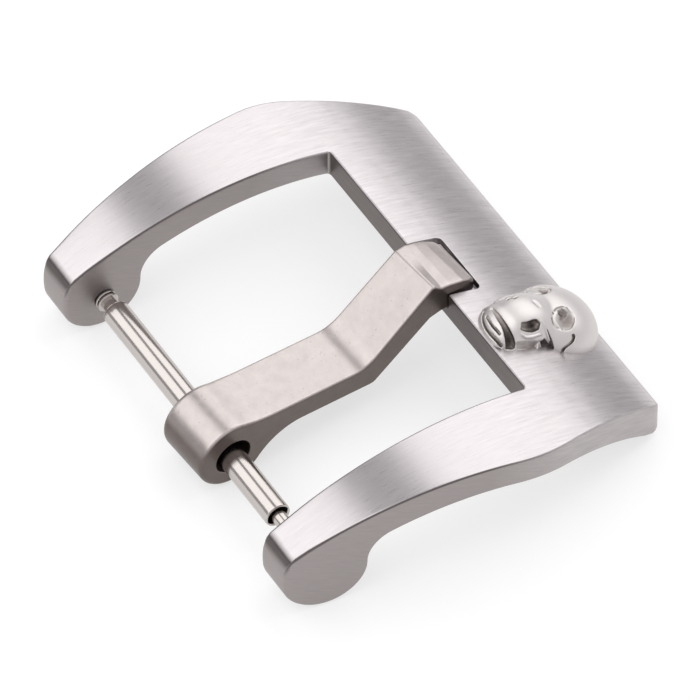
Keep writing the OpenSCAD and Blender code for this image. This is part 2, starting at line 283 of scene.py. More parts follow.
def sharpEdges(obj, angle):   # edges that turn by more than the angle, with their middle and normals
    mesh, found, sides = obj.data, [], {}
    for face in mesh.polygons:
        for key in face.edge_keys:
            sides.setdefault(key, []).append(face.normal)
    for edge in mesh.edges:
        normals = sides[edge.key]
        if len(normals) == 2 and normals[0].angle(normals[1], 0) > math.radians(angle):
            middle = (mesh.vertices[edge.vertices[0]].co + mesh.vertices[edge.vertices[1]].co) / 2
            found.append((edge, middle, normals))
    return found


def roundOff(obj, widthOf, segments, angle=30):   # bevels each sharp edge by its own width
    mesh = obj.data
    weight = mesh.attributes.new("bevel_weight_edge", "FLOAT", "EDGE")
    edges = sharpEdges(obj, angle)
    widths = [widthOf(middle, normals) for _, middle, normals in edges]
    most = max(widths)
    for (edge, _, _), width in zip(edges, widths):
        weight.data[edge.index].value = width / most
    applyModifier(obj, "BEVEL", limit_method="WEIGHT", width=most, segments=segments, loop_slide=True,
                  use_clamp_overlap=False, harden_normals=False, miter_outer="MITER_ARC")
    if "bevel_weight_edge" in mesh.attributes:
        mesh.attributes.remove(mesh.attributes["bevel_weight_edge"])


def frameEdgeWidth(middle, normals, s=frameSizes):
    x, y, z = middle
    slotEnd, near = s["windowY"] + s["slotLength"], 0.1
    if math.hypot(y, z) < s["holeRadius"] + near and abs(x) < s["lugGap"] / 2 + s["lugZone"]:
        return s["holeRound"]
    if abs(x) < s["slotWidth"] / 2 + 2 * near and s["windowY"] - near / 2 < y < slotEnd + near:
        return s["slotRound"]
    if y > s["frontY"] - s["touching"]:
        if all(abs(n.z) < 0.5 for n in normals):
            return s["frontCorner"]
        return s["frontRound"] if z > 0 else s["frontFootRound"]
    if y > s["lugZone"]:
        return s["edgeRound"]
    if all(abs(n.x) < 0.5 for n in normals):   # the upper face's own end
        corner = s["lugGap"] / 2 if x > 0 else -s["armEndX"]
        worn = smoothStep(1 - (x - corner) / s["wornReach"])
        return s["lugTopRound"] + (s["lugTopWorn"] - s["lugTopRound"]) * worn
    start, reach = s["sideFade"]
    return s["edgeRound"] + (s["lugSideRound"] - s["edgeRound"]) * smoothStep((start - y) / reach)


roundOff(buckle, frameEdgeWidth, frameSizes["roundSteps"])
toMetres(buckle)
pick(buckle)
bpy.ops.object.shade_smooth_by_angle(angle=math.radians(30))
applyModifier(buckle, "WEIGHTED_NORMAL", keep_sharp=True)   # the big faces stay flat beside their rounds
buckle.name = "brushedFrame"
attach(buckle, "frame")
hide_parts("buckle_frame")
print("frame:", len(buckle.data.vertices), "vertices")

# Skull: rounded masses run together, then carved; modelled flat and set on the bar's slope
skullSizes = {   # millimetres; Y points to the crown; a mass is a centre, three radii and a turn in degrees
    "place": (6.4, 22.2), "grain": 0.045, "rodGrain": 0.035, "sunk": -0.55,
    "smoothings": 250, "lastSmoothings": 3,
    "masses": {
        "cranium": ((0.2, 0.18, -0.35), (3.12, 3.06, 2.34), (0, 0, 0)),
        "face": ((0.12, -2.4, -0.25), (2.2, 2.7, 2.2), (0, 0, 0)),
        "lowerJaw": ((0.2, -4.4, -0.4), (1.95, 1.15, 1.55), (0, 0, -6)),
        "jawPlate": ((0.15, -3.4, -0.6), (2.6, 1.6, 1.25), (0, 0, 0)),
    },
    "eye": ((1.54, -0.92, 1.68), (0.92, 0.9, 0.3), (0, 33, 0)),
}
# Strokes of the graver. Each point is a place in the photograph, in its pixels across and down, then the
# half width and the depth in millimetres, where a depth below zero stands for a raised bead.
skullStrokes = {
    "mouth": [(491, 308, 0.1, 0.1), (496, 313, 0.15, 0.2), (500, 319, 0.18, 0.28), (504, 325, 0.2, 0.34),
              (507, 331, 0.24, 0.4), (509.5, 338, 0.3, 0.46), (511, 345, 0.34, 0.46),
              (510, 350, 0.3, 0.4)],
    "lipLine": [(486, 316, 0.09, 0.18), (489, 321, 0.1, 0.26), (493, 327, 0.11, 0.3),
                (497, 331, 0.11, 0.28), (500, 335, 0.09, 0.18)],
    "jawLine": [(484, 311, 0.1, 0.2), (482, 317, 0.11, 0.26), (483, 323, 0.11, 0.26),
                (486, 329, 0.12, 0.28), (490, 334, 0.14, 0.28), (496, 340, 0.15, 0.3),
                (502, 347, 0.15, 0.3)],
    "notch": [(532, 300, 0.3, 0.06), (536, 303, 0.26, 0.14), (540, 307, 0.14, 0.08)],
    "tick": [(507, 300, 0.1, 0.24), (510, 297.5, 0.09, 0.26), (514, 298.5, 0.08, 0.24),
             (519, 296, 0.07, 0.16)],
}
skullPairs = {   # the same on both sides
    "cheekHollow": [(521, 326, 0.26, 0.26), (527, 327, 0.36, 0.34), (532, 326.5, 0.4, 0.44),
                    (536.5, 324.5, 0.4, 0.5), (539, 321, 0.2, 0.34)],
    "cheekRim": [(521, 334, 0.1, -0.06), (526, 337.5, 0.11, -0.1), (532, 337, 0.11, -0.12),
                 (538, 335, 0.1, -0.1), (542, 334, 0.08, -0.05)],
    "cheekRidge": [(541, 320, 0.06, -0.04), (544, 325, 0.08, -0.08), (546, 331, 0.09, -0.1),
                   (547.5, 336, 0.09, -0.1), (549.5, 341, 0.07, -0.06)],
    "cheekLine": [(544, 323, 0.06, 0.1), (547, 330, 0.08, 0.2), (549, 336, 0.1, 0.3),
                  (551, 342, 0.12, 0.36), (552, 348, 0.14, 0.4), (552, 354, 0.15, 0.4)],
    "wedge": [(543, 340, 0.16, 0.3), (545, 345, 0.26, 0.4), (547.5, 351, 0.32, 0.44),
              (548, 356, 0.3, 0.44)],
    "plate": [(517, 347, 0.38, 0.16), (523, 347.5, 0.44, 0.22), (530, 348, 0.46, 0.24),
              (537, 348, 0.42, 0.24)],
    "plateEdge": [(540, 340, 0.08, 0.3), (540, 345, 0.09, 0.4), (539.5, 351, 0.09, 0.4)],
    "temple": [(573, 334, 0.1, 0.22), (574.3, 337, 0.14, 0.32), (573, 341, 0.12, 0.3),
               (569, 345, 0.09, 0.22), (565, 348, 0.1, 0.26), (562, 352, 0.14, 0.34)],
    "eyeRing": [(562.3 + 10.3 * math.cos(turn), 318 + 11.6 * math.sin(turn), 0.06, 0.16)
                for turn in [math.pi * i / 6 for i in range(13)]],
    "eyePit": [(558, 311.5, 0.2, 0.2), (562, 311.5, 0.3, 0.34), (566, 313, 0.3, 0.34),
               (564, 317, 0.26, 0.3), (561, 319, 0.2, 0.2)],
}


def addBlob(centre, radii, turn, steps=40):   # one rounded mass
    deselectAll()
    bpy.ops.mesh.primitive_uv_sphere_add(segments=steps, ring_count=steps // 2, radius=1, location=centre,
                                         rotation=[math.radians(a) for a in turn])
    blob = bpy.context.object
    blob.scale = radii
    return blob


def runTogether(name, blobs, voxel):   # overlapping blobs as one skin
    pick(*blobs)
    bpy.ops.object.join()
    bpy.ops.object.transform_apply()
    skin = bpy.context.object
    skin.name = name
    applyModifier(skin, "REMESH", mode="VOXEL", voxel_size=voxel)
    return skin


def placeOnSkin(skin, seat, stroke, view=cameraView):   # finds where the camera sees each point of a stroke
    half, far = view["pixels"] / 2, view["pixels"] * view["lens"] / view["sensor"]
    eye = seat.inverted() @ (Vector(view["location"]) * 1000)
    turn = seat.inverted().to_3x3() @ Euler([math.radians(a) for a in view["turn"]]).to_matrix()
    placed = []
    for across, down, *size in stroke:
        ray = turn @ Vector((across - half, half - down, -far)).normalized()
        placed.append((*skin.ray_cast(eye, ray)[0], *size))
    return placed


def engrave(skull, skin, strokes, raised):   # draws a thin rod along each stroke, then cuts or adds them
    deselectAll()
    bpy.ops.curve.primitive_bezier_curve_add()
    rods = bpy.context.object
    rods.data.splines.clear()
    rods.data.dimensions, rods.data.bevel_depth, rods.data.bevel_resolution = "3D", 1, 5
    rods.data.use_fill_caps = True
    for stroke in [[p for p in line if (p[4] < 0) == raised] for line in strokes]:
        for sunk in (False, True) if stroke else ():   # a deep stroke has a second rod under the first
            rod = rods.data.splines.new("POLY")
            rod.points.add(len(stroke) - 1)
            for point, (x, y, z, half, depth) in zip(rod.points, stroke):
                spot, normal, _, _ = skin.find_nearest(Vector((x, y, z)))
                depth = abs(depth)
                radius = half if depth > half else (half * half + depth * depth) / 2 / depth
                lift = radius - (depth if sunk else min(depth, half))
                centre = spot + normal * lift * (-1 if raised else 1)
                point.co, point.radius = (*centre, 1), radius
    pick(rods)
    bpy.ops.object.convert(target="MESH")
    rods = bpy.context.object
    applyModifier(rods, "REMESH", mode="VOXEL", voxel_size=skullSizes["rodGrain"])
    cut(skull, rods, "UNION" if raised else "DIFFERENCE", "MANIFOLD")


def makeSkull(s=skullSizes, strokes=skullStrokes, pairs=skullPairs):
    skull = runTogether("castSkull", [addBlob(*m) for m in s["masses"].values()], s["grain"])
    applyModifier(skull, "SMOOTH", factor=0.5, iterations=s["smoothings"])
    corners, faces = [v.co for v in skull.data.vertices], [f.vertices for f in skull.data.polygons]
    skin = BVHTree.FromPolygons(corners, faces)   # the surface before carving
    x, y = s["place"]
    slope = math.asin((y - frameSizes["crownY"]) / frameSizes["crownRadius"])
    seat = Matrix.Translation((x, y, crownAt(y))) @ Matrix.Rotation(-slope, 4, "X")
    lines = [placeOnSkin(skin, seat, line) for line in strokes.values()]
    for line in pairs.values():
        placed = placeOnSkin(skin, seat, line)
        lines += [placed, [(-x, *rest) for x, *rest in placed]]
    engrave(skull, skin, lines, False)
    (x, y, z), radii, (a, b, c) = s["eye"]
    for sign in (1, -1):
        cut(skull, addBlob((sign * x, y, z), radii, (a, sign * b, sign * c)), "DIFFERENCE", "MANIFOLD")
    engrave(skull, skin, lines, True)
    applyModifier(skull, "REMESH", mode="VOXEL", voxel_size=s["grain"])
    applyModifier(skull, "SMOOTH", factor=0.5, iterations=s["lastSmoothings"])
    depth = skull.data.attributes.new("hollow", "FLOAT", "POINT")
    for v in skull.data.vertices:
        spot, normal, _, _ = skin.find_nearest(v.co)
        depth.data[v.index].value = max(0, (spot - v.co).dot(normal))
    pick(skull)
    bpy.ops.object.mode_set(mode="EDIT")
    bpy.ops.mesh.select_all(action="SELECT")
    bpy.ops.mesh.bisect(plane_co=(0, 0, s["sunk"]), plane_no=(0, 0, 1), clear_inner=True, use_fill=True)
    bpy.ops.object.mode_set(mode="OBJECT")
    skull.data.transform(seat)
    skull.data.materials.clear()
    toMetres(skull)
    pick(skull)
    bpy.ops.object.shade_smooth_by_angle(angle=math.radians(50))
    return skull


skull = makeSkull()
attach(skull, "frame")
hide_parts("skull_ornament")
print("skull:", len(skull.data.vertices), "vertices")

# Tongue: two side outlines, one for each edge, joined across
tongueSizes = {   # millimetres; the tongue's own frame, before it is set askew on the bar
    "barrelRadius": 2.52, "barrelRise": 0.15, "topRound": 11, "armpitRound": 4,
    "limbHeight": 2.254, "limbSlope": -0.0725, "underHeight": 0.458, "underSlope": -0.0738,
    "boreRadius": 1.3, "boreRound": 0.1, "edgeRound": 0.2, "leftRim": 0.42, "rightRim": 0.3,
    "rightTop": [(10.42, 1.47, 2.6), (15.68, 5.88, 0.25), (16.25, 5.36, 0.3), (17.0, 5.2, 1.0),
                 (18.0, 4.87, 1.2), (18.72, 4.52, 0.5), (19.1, 3.95, 0.35), (19.12, 3.1, 0.3)],
    "leftTop": [(10.4, 1.53, 2.6), (15.55, 5.5, 0.5), (16.4, 5.44, 0.8), (17.0, 5.26, 1.0),
                (17.8, 4.94, 1.2), (18.55, 4.5, 0.7), (19.05, 3.95, 0.35), (19.12, 3.1, 0.3)],
    "under": [(16.15, 3.1, 0.3), (15.4, 2.95, 0.3), (10.95, -0.36, 0.8)],
    "halfWidths": [(-3, 2.22, 2.22), (2.5, 2.2, 2.2), (15.6, 2.13, 2.15), (16.2, 2.13, 2.22),
                   (17.7, 2.08, 2.19), (18.5, 2.0, 2.08), (19.2, 1.7, 1.85)],
    "rimFade": (2.2, 1.6), "place": 1.48, "skew": 3.4,
    "strips": 8, "barrelSteps": 56, "creaseSteps": 10, "armpitSteps": 14, "cornerSteps": 5,
    "roundSteps": 4, "boreSteps": 72, "boreReach": 4,
}


def tangentRound(s, r, height, slope, side):   # a round that touches the barrel and a straight face
    rise = s["barrelRise"]
    h = height - rise + side * r * math.hypot(1, slope)
    reach = s["barrelRadius"] + r
    a, b, c = 1 + slope ** 2, 2 * slope * h, h * h - reach ** 2
    y = (-b + math.sqrt(b * b - 4 * a * c)) / (2 * a)
    z = rise + h + slope * y
    return y, z, math.degrees(math.atan2(z - rise, y))


def tongueSide(top, s):
    y1, z1, a1 = tangentRound(s, s["topRound"], s["limbHeight"], s["limbSlope"], 1)
    y2, z2, a2 = tangentRound(s, s["armpitRound"], s["underHeight"], s["underSlope"], -1)
    top1, top2 = a1 - 180, math.degrees(math.atan(s["limbSlope"])) - 90
    under1, under2 = a2 + 180, math.degrees(math.atan(s["underSlope"])) + 90
    barrel = arc(0, s["barrelRise"], s["barrelRadius"], a1, a2 + 360, s["barrelSteps"])
    crease = arc(y1, z1, s["topRound"], top1, top2, s["creaseSteps"])[::-1]
    armpit = arc(y2, z2, s["armpitRound"], under1, under2, s["armpitSteps"])
    keys = [(*crease[0], 0)] + top + s["under"] + [(*armpit[-1], 0)]
    line = []
    for before, here, after in zip(keys, keys[1:], keys[2:]):
        line += roundedCorner(before[:2], here[:2], after[:2], here[2], s["cornerSteps"])
    return barrel + armpit[1:] + line[::-1] + crease[:-1]


def acrossPoint(right, left, y, z, share):   # a point of the right outline, moved towards the left one
    here, best = Vector((y, z)), None
    for i in range(len(right)):
        a, b = Vector(right[i - 1]), Vector(right[i])
        t = max(0, min(1, (here - a).dot(b - a) / max((b - a).length_squared, 1e-12)))
        away = (a.lerp(b, t) - here).length
        if best is None or away < best[0]:
            best = (away, a.lerp(b, t), Vector(left[i - 1]).lerp(Vector(left[i]), t))
    return best[1].lerp(best[2], share)


def makeTongue(s=tongueSizes):
    right, left = tongueSide(s["rightTop"], s), tongueSide(s["leftTop"], s)
    tongue = pullOut(traceOutline("castTongue", [(1, y, z) for y, z in right]), (-2, 0, 0))
    pick(tongue)
    bpy.ops.object.mode_set(mode="EDIT")
    for strip in range(1, s["strips"]):
        bpy.ops.mesh.select_all(action="SELECT")
        bpy.ops.mesh.bisect(plane_co=(1 - 2 * strip / s["strips"], 0, 0), plane_no=(1, 0, 0))
    for y, _, _ in s["halfWidths"][1:-1]:   # so that each stretch of the sides stays flat
        bpy.ops.mesh.select_all(action="SELECT")
        bpy.ops.mesh.bisect(plane_co=(0, y, 0), plane_no=(0, 1, 0))
    bpy.ops.object.mode_set(mode="OBJECT")
    widths = s["halfWidths"]
    for v in tongue.data.vertices:
        share = (1 - v.co.x) / 2
        y, z = acrossPoint(right, left, v.co.y, v.co.z, share)
        for a, b in zip(widths, widths[1:]):
            if a[0] <= y <= b[0] or b == widths[-1]:
                t = max(0, min(1, (y - a[0]) / (b[0] - a[0])))
                break
        toRight, toLeft = a[1] + (b[1] - a[1]) * t, a[2] + (b[2] - a[2]) * t
        v.co = (toRight + (-toLeft - toRight) * share, y, z)
    return tongue


def boreTool(s=tongueSizes):   # the bore with its two rounded mouths
    x, r, soft = s["halfWidths"][0][1], s["boreRadius"], s["boreRound"]
    half = [(s["boreReach"], 0), (s["boreReach"], r + soft)] + arc(x - soft, r + soft, soft, 0, -90, 3)
    return spinOutline("bore", half + [(-x, r) for x, r in reversed(half)], s["boreSteps"])


def tongueEdgeWidth(middle, normals, s=tongueSizes):   # the barrel's rims are rounder than the limb's edges
    rim = s["leftRim"] if middle.x < 0 else s["rightRim"]
    start, reach = s["rimFade"]
    return s["edgeRound"] + (rim - s["edgeRound"]) * smoothStep((start - middle.y) / reach)


tongue = makeTongue()
roundOff(tongue, tongueEdgeWidth, tongueSizes["roundSteps"], angle=45)
cut(tongue, boreTool())
pick(tongue)
bpy.ops.object.mode_set(mode="EDIT")
bpy.ops.mesh.select_all(action="SELECT")
bpy.ops.transform.translate(value=(tongueSizes["place"], 0, 0))
bpy.ops.object.mode_set(mode="OBJECT")
turn = Matrix.Rotation(math.radians(tongueSizes["skew"]), 4, "Z")
shift = Matrix.Translation((tongueSizes["place"], 0, 0))
tongue.data.transform(shift @ turn @ shift.inverted())
toMetres(tongue)
pick(tongue)
bpy.ops.object.shade_smooth_by_angle(angle=math.radians(32))
applyModifier(tongue, "WEIGHTED_NORMAL", keep_sharp=True)
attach(tongue, "tongue")
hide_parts("tongue")
print("tongue:", len(tongue.data.vertices), "vertices")

# Spring bar: turned pieces, spun round the X axis
barSizes = {   # millimetres
    "tubeRadius": 0.9, "tubeLength": 20, "tubeLeft": -10.7, "lipRadius": 0.72, "boreRadius": 0.77,
    "shankRadius": 0.5, "flangeRadius": 0.75, "flange": 0.16, "groove": 0.12, "tip": 0.75,
    "headFromLug": 3.2, "headLength": 1, "headRadius": 0.71, "lugFace": 12,
    "lip": ((0.22, 0), (0.1, 0.03), (0.02, 0.1), (0, 0.14)), "lipRound": 0.16, "lipSteps": 6,
    "boreFrom": 0.42, "plainFrom": 0.6, "flangeFromLug": 0.06, "rimRound": 0.04,
    "point": ((0, -0.14), (0.05, -0.05), (0.16, 0)),
}


def turnPiece(name, profile):
    obj = spinOutline(name, profile)
    toMetres(obj)
    pick(obj)
    bpy.ops.object.shade_smooth_by_angle(angle=math.radians(30))
    return obj


def tubeProfile(s=barSizes):
    r, left, right, soft = s["tubeRadius"], s["tubeLeft"], s["tubeLeft"] + s["tubeLength"], s["lipRound"]
    end = [(x, s["lipRadius"] + rise) for x, rise in s["lip"]]
    end += arc(soft, r - soft, soft, 180, 90, s["lipSteps"])[1:]
    start, shadedColor = [(left + x, q) for x, q in end], [(right - x, q) for x, q in reversed(end)]
    middle = [(left + s["plainFrom"], r), (right - s["plainFrom"], r)]
    bore = [(right - s["boreFrom"], s["boreRadius"]), (left + s["boreFrom"], s["boreRadius"])]
    return start + middle + shadedColor + bore


def pinProfile(s=barSizes):   # from the tip in the lug to the head in the tube, left pin
    r, f, soft, tip = s["shankRadius"], s["flangeRadius"], s["rimRound"], s["tip"]
    first = s["flangeFromLug"]
    second = first + s["flange"] + s["groove"]
    line = [(-tip, 0.0)] + [(x - tip, r + rise) for x, rise in s["point"]]
    for a in (first, second):
        b = a + s["flange"]
        line += [(a, r), (a, f - soft), (a + soft, f), (b - soft, f), (b, f - soft), (b, r)]
    head, end = s["headFromLug"], s["headFromLug"] + s["headLength"]
    line += [(head, r), (head, s["headRadius"]), (end, s["headRadius"]), (end, 0.0)]
    clean = [line[0]]
    for p in line[1:]:
        if abs(p[0] - clean[-1][0]) + abs(p[1] - clean[-1][1]) > 1e-6:
            clean.append(p)
    return [(x - s["lugFace"], q) for x, q in clean]


tube = turnPiece("polishedTube", tubeProfile())
leftPin = turnPiece("leftPin", pinProfile())
rightPin = turnPiece("rightPin", [(-x, r) for x, r in pinProfile()])
for piece, node, body, slotName in ((tube, "spring_bar_tube", "spring_bar", "polished_bar"),
                                    (leftPin, "spring_bar_pin_left", "left_pin", "polished_pins"),
                                    (rightPin, "spring_bar_pin_right", "right_pin", "polished_pins")):
    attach(piece, body)
    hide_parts(node)
print("spring bar:", len(tube.data.vertices), "vertices in the tube")

# Studio
studio = {   # metres and watts; the softboxes are long and lie along X, so that the arches show a dark gap
    "floorColor": "FFFFFF", "floorHeight": -0.00246, "floorSize": 4, "floorGlow": 0.62,
    "worldColor": "F4F2F4", "leftGlow": 0.5, "rightGlow": 0.9,
    "reach": 0.5, "boxX": -0.33, "boxLength": 0.95,
    "frontBox": {"angle": 48.6, "width": 0.51, "glow": 1.25},   # degrees up from the front, about X
    "backBox": {"angle": 125.4, "width": 0.58, "glow": 1.25},
}

deselectAll()
bpy.ops.object.camera_add(location=cameraView["location"],
                          rotation=[math.radians(a) for a in cameraView["turn"]])
camera = bpy.context.object
camera.data.lens = cameraView["lens"]
camera.data.sensor_width = cameraView["sensor"]
camera.data.clip_start, camera.data.clip_end = cameraView["near"], cameraView["far"]
bpy.context.scene.camera = camera

deselectAll()
bpy.ops.mesh.primitive_plane_add(size=studio["floorSize"], location=(0, 0, studio["floorHeight"]))
floor = bpy.context.object
floor.name = "floor"


def addSoftbox(name, box, s=studio):   # a long box, turned to the X axis
    angle = math.radians(box["angle"])
    spot = Vector((s["boxX"], s["reach"] * math.cos(angle), s["reach"] * math.sin(angle)))
    deselectAll()
    bpy.ops.object.light_add(type="AREA", location=spot)
    lamp = bpy.context.object
    lamp.name = name
    lamp.data.shape = "RECTANGLE"
    lamp.data.size, lamp.data.size_y = s["boxLength"], box["width"]
    lamp.data.energy = box["glow"] * math.pi * s["boxLength"] * box["width"]
    lamp.rotation_euler = (angle - math.pi / 2, 0, 0)
    return lamp


addSoftbox("frontSoftbox", studio["frontBox"])
addSoftbox("backSoftbox", studio["backBox"])


# Materials
def addNode(tree, kind, inputs={}, **settings):   # a node, its settings and what goes into its sockets
    node = tree.nodes.new("ShaderNode" + kind)
    for key, value in settings.items():
        setattr(node, key, value)
    for socket, value in inputs.items():
        if isinstance(value, bpy.types.NodeSocket):
            tree.links.new(value, node.inputs[socket])
        else:
            node.inputs[socket].default_value = value
    return node


def newMaterial(name):
    material = bpy.data.materials.new(name)
    material.use_nodes = True
    return material, material.node_tree, material.node_tree.nodes["Principled BSDF"]


brushedLook = {   # brushed stainless: fine lines along the arms draw each reflection out across them; the faces are painted lighter or darker by which way they look, with a lighter top and with sides, the window's front wall and the rounded edges painted darker as shade and dark reflection
    "color": "CAC5C6", "shadedSideColor": "A39C9B", "frontBarShadedSideColor": "B9B4B3", "wallShadeColor": "7B7472",
    "edgeDarkReflectionColor": "6A6463", "roughness": 0.3, "anisotropy": 0.7, "sideRoughness": 0.42,
    "lineWidth": 0.00008, "lineLength": 0.0014, "lineDepth": 1.9e-6, "patch": 0.0022,
    "streakWidth": 0.00024, "streakLength": 0.0026, "unevenness": 0.05,
    "worn": (0.9, 1.06), "streaksBehind": (0.965, 1.02), "streaksInFront": (0.87, 1.06),
    # Where each painted shade begins and where it is full, by how far a face looks up, sideways or back
    "topFrom": (0.45, 0.75), "wallFrom": (-0.6, -0.8), "edgeIn": (0.25, 0.5), "edgeOut": (0.95, 0.8),
    "edgeUp": (0.1, 0.3), "endIn": (0.24, 0.5), "endOut": (0.86, 0.68), "endBack": (-0.35, -0.5),
    "frontFrom": (0.011, 0.017), "frontEdge": 0.15,   # metres, and how much of the painted dark edge stays on the front bar
}


def brushedStainless(look=brushedLook):
    material, tree, shader = newMaterial("brushedStainless")
    place = addNode(tree, "TexCoord")
    across = addNode(tree, "UVMap", uv_map="brushing")
    stretched = addNode(tree, "Mapping", {"Vector": across.outputs[0], "Scale": (
        0.001 / look["lineWidth"], 0.001 / look["lineLength"], 1)})
    lines = addNode(tree, "TexNoise", {"Vector": stretched.outputs[0], "Scale": 1, "Detail": 3,
                                       "Roughness": 0.6})
    broad = addNode(tree, "Mapping", {"Vector": across.outputs[0], "Scale": (
        0.001 / look["streakWidth"], 0.001 / look["streakLength"], 1)})
    streaks = addNode(tree, "TexNoise", {"Vector": broad.outputs[0], "Scale": 1, "Detail": 3,
                                         "Roughness": 0.65})
    patches = addNode(tree, "TexNoise", {"Vector": place.outputs["Object"], "Scale": 1 / look["patch"],
                                         "Detail": 2})

    # Shares between 0 and 1 of what each part of the surface is, which place the painted shade
    x, y, z = addNode(tree, "SeparateXYZ", {"Vector": place.outputs["Normal"]}).outputs
    spot = addNode(tree, "SeparateXYZ", {"Vector": place.outputs["Object"]})
    sideways = addNode(tree, "Math", {0: x}, operation="ABSOLUTE").outputs[0]
    low, high = look["topFrom"]
    top = addNode(tree, "MapRange", {"Value": z, "From Min": low, "From Max": high},
                  interpolation_type="SMOOTHSTEP").outputs[0]
    reads = {"frontFrom": spot.outputs["Y"], "wallFrom": y, "edgeIn": sideways, "edgeOut": sideways,
             "edgeUp": z, "endIn": z, "endOut": z, "endBack": y}
    shares = {}
    for key, value in reads.items():
        low, high = look[key]
        node = addNode(tree, "MapRange", {"Value": value, "From Min": low, "From Max": high})
        shares[key] = node.outputs[0]
    forward = shares["frontFrom"]
    fading = addNode(tree, "MapRange", {"Value": forward, "To Min": 1, "To Max": look["frontEdge"]})
    wall, edge, end = shares["wallFrom"], shares["edgeIn"], shares["endIn"]
    # painted shade on the window's front wall: faces that look back, on the front bar
    wall = addNode(tree, "Math", {0: wall, 1: forward}, operation="MULTIPLY").outputs[0]
    for share in (shares["edgeOut"], shares["edgeUp"], fading.outputs[0]):   # painted dark reflection on the arms' rounded edges
        edge = addNode(tree, "Math", {0: edge, 1: share}, operation="MULTIPLY").outputs[0]
    for share in (shares["endOut"], shares["endBack"]):   # painted dark band on the rounds at the lugs' ends
        end = addNode(tree, "Math", {0: end, 1: share}, operation="MULTIPLY").outputs[0]
    edge = addNode(tree, "Math", {0: edge, 1: end}, operation="MAXIMUM").outputs[0]

    # painted shade: the sides darker than the top, a little lighter on the front bar, darkest on the window's
    # front wall and along the rounded edges
    shadedColor = toLinear(look["shadedSideColor"])
    layers = ((forward, "frontBarShadedSideColor"), (wall, "wallShadeColor"), (top, "color"), (edge, "edgeDarkReflectionColor"))
    for share, color in layers:
        node = addNode(tree, "MixRGB", {"Fac": share, "Color1": shadedColor, "Color2": toLinear(look[color])})
        shadedColor = node.outputs[0]

    # The brushed lines shade the metal a little, and broader streaks do so most on the front bar
    low, high = look["worn"]
    worn = addNode(tree, "MapRange", {"Value": lines.outputs[0], "From Min": 0.25, "From Max": 0.75,
                                      "To Min": low, "To Max": high})
    streakEnds = []
    for behind, inFront in zip(look["streaksBehind"], look["streaksInFront"]):
        node = addNode(tree, "MapRange", {"Value": forward, "To Min": behind, "To Max": inFront})
        streakEnds.append(node.outputs[0])
    streaky = addNode(tree, "MapRange", {"Value": streaks.outputs[0], "From Min": 0.3, "From Max": 0.7,
                                         "To Min": streakEnds[0], "To Max": streakEnds[1]})
    for shade in (worn, streaky):
        node = addNode(tree, "MixRGB", {"Fac": 1, "Color1": shadedColor, "Color2": shade.outputs[0]},
                       blend_type="MULTIPLY")
        shadedColor = node.outputs[0]
    tree.links.new(shadedColor, shader.inputs["Base Color"])
    shader.inputs["Metallic"].default_value = 1
    shader.inputs["Anisotropic"].default_value = look["anisotropy"]
    along = addNode(tree, "Tangent", direction_type="UV_MAP", uv_map="brushing")
    tree.links.new(along.outputs[0], shader.inputs["Tangent"])
    base = addNode(tree, "MapRange", {"Value": top, "To Min": look["sideRoughness"],
                                      "To Max": look["roughness"]})
    spread = addNode(tree, "MapRange", {"Value": lines.outputs[0], "From Min": 0.2, "From Max": 0.8,
                                        "To Min": -look["unevenness"], "To Max": look["unevenness"]})
    uneven = addNode(tree, "Math", {0: base.outputs[0], 1: spread.outputs[0]}, operation="ADD")
    tree.links.new(uneven.outputs[0], shader.inputs["Roughness"])
    relief = addNode(tree, "Math", {0: patches.outputs[0], 1: 0.5, 2: lines.outputs[0]},
                     operation="MULTIPLY_ADD")
    bump = addNode(tree, "Bump", {"Height": relief.outputs[0], "Distance": look["lineDepth"]})
    tree.links.new(bump.outputs[0], shader.inputs["Normal"])
    return material


castLook = {   # cast steel, tumbled satin: no lines, a fine grain and a few pits, a little warmer; the sides painted darker than the top as shade
    "color": "BDB5B2", "shadedSideColor": "6E6561", "topFrom": (0.3, 0.75), "roughness": 0.34, "unevenness": 0.05,
    "grain": 0.00016, "grainDepth": 2.6e-6, "cloud": 1 / 1100, "clouds": (0.92, 1.04),
    "pit": 0.00045, "pitReach": (0.04, 0.14), "pitDepth": 6e-6, "pitStrength": 0.6, "speck": 0.72,
}


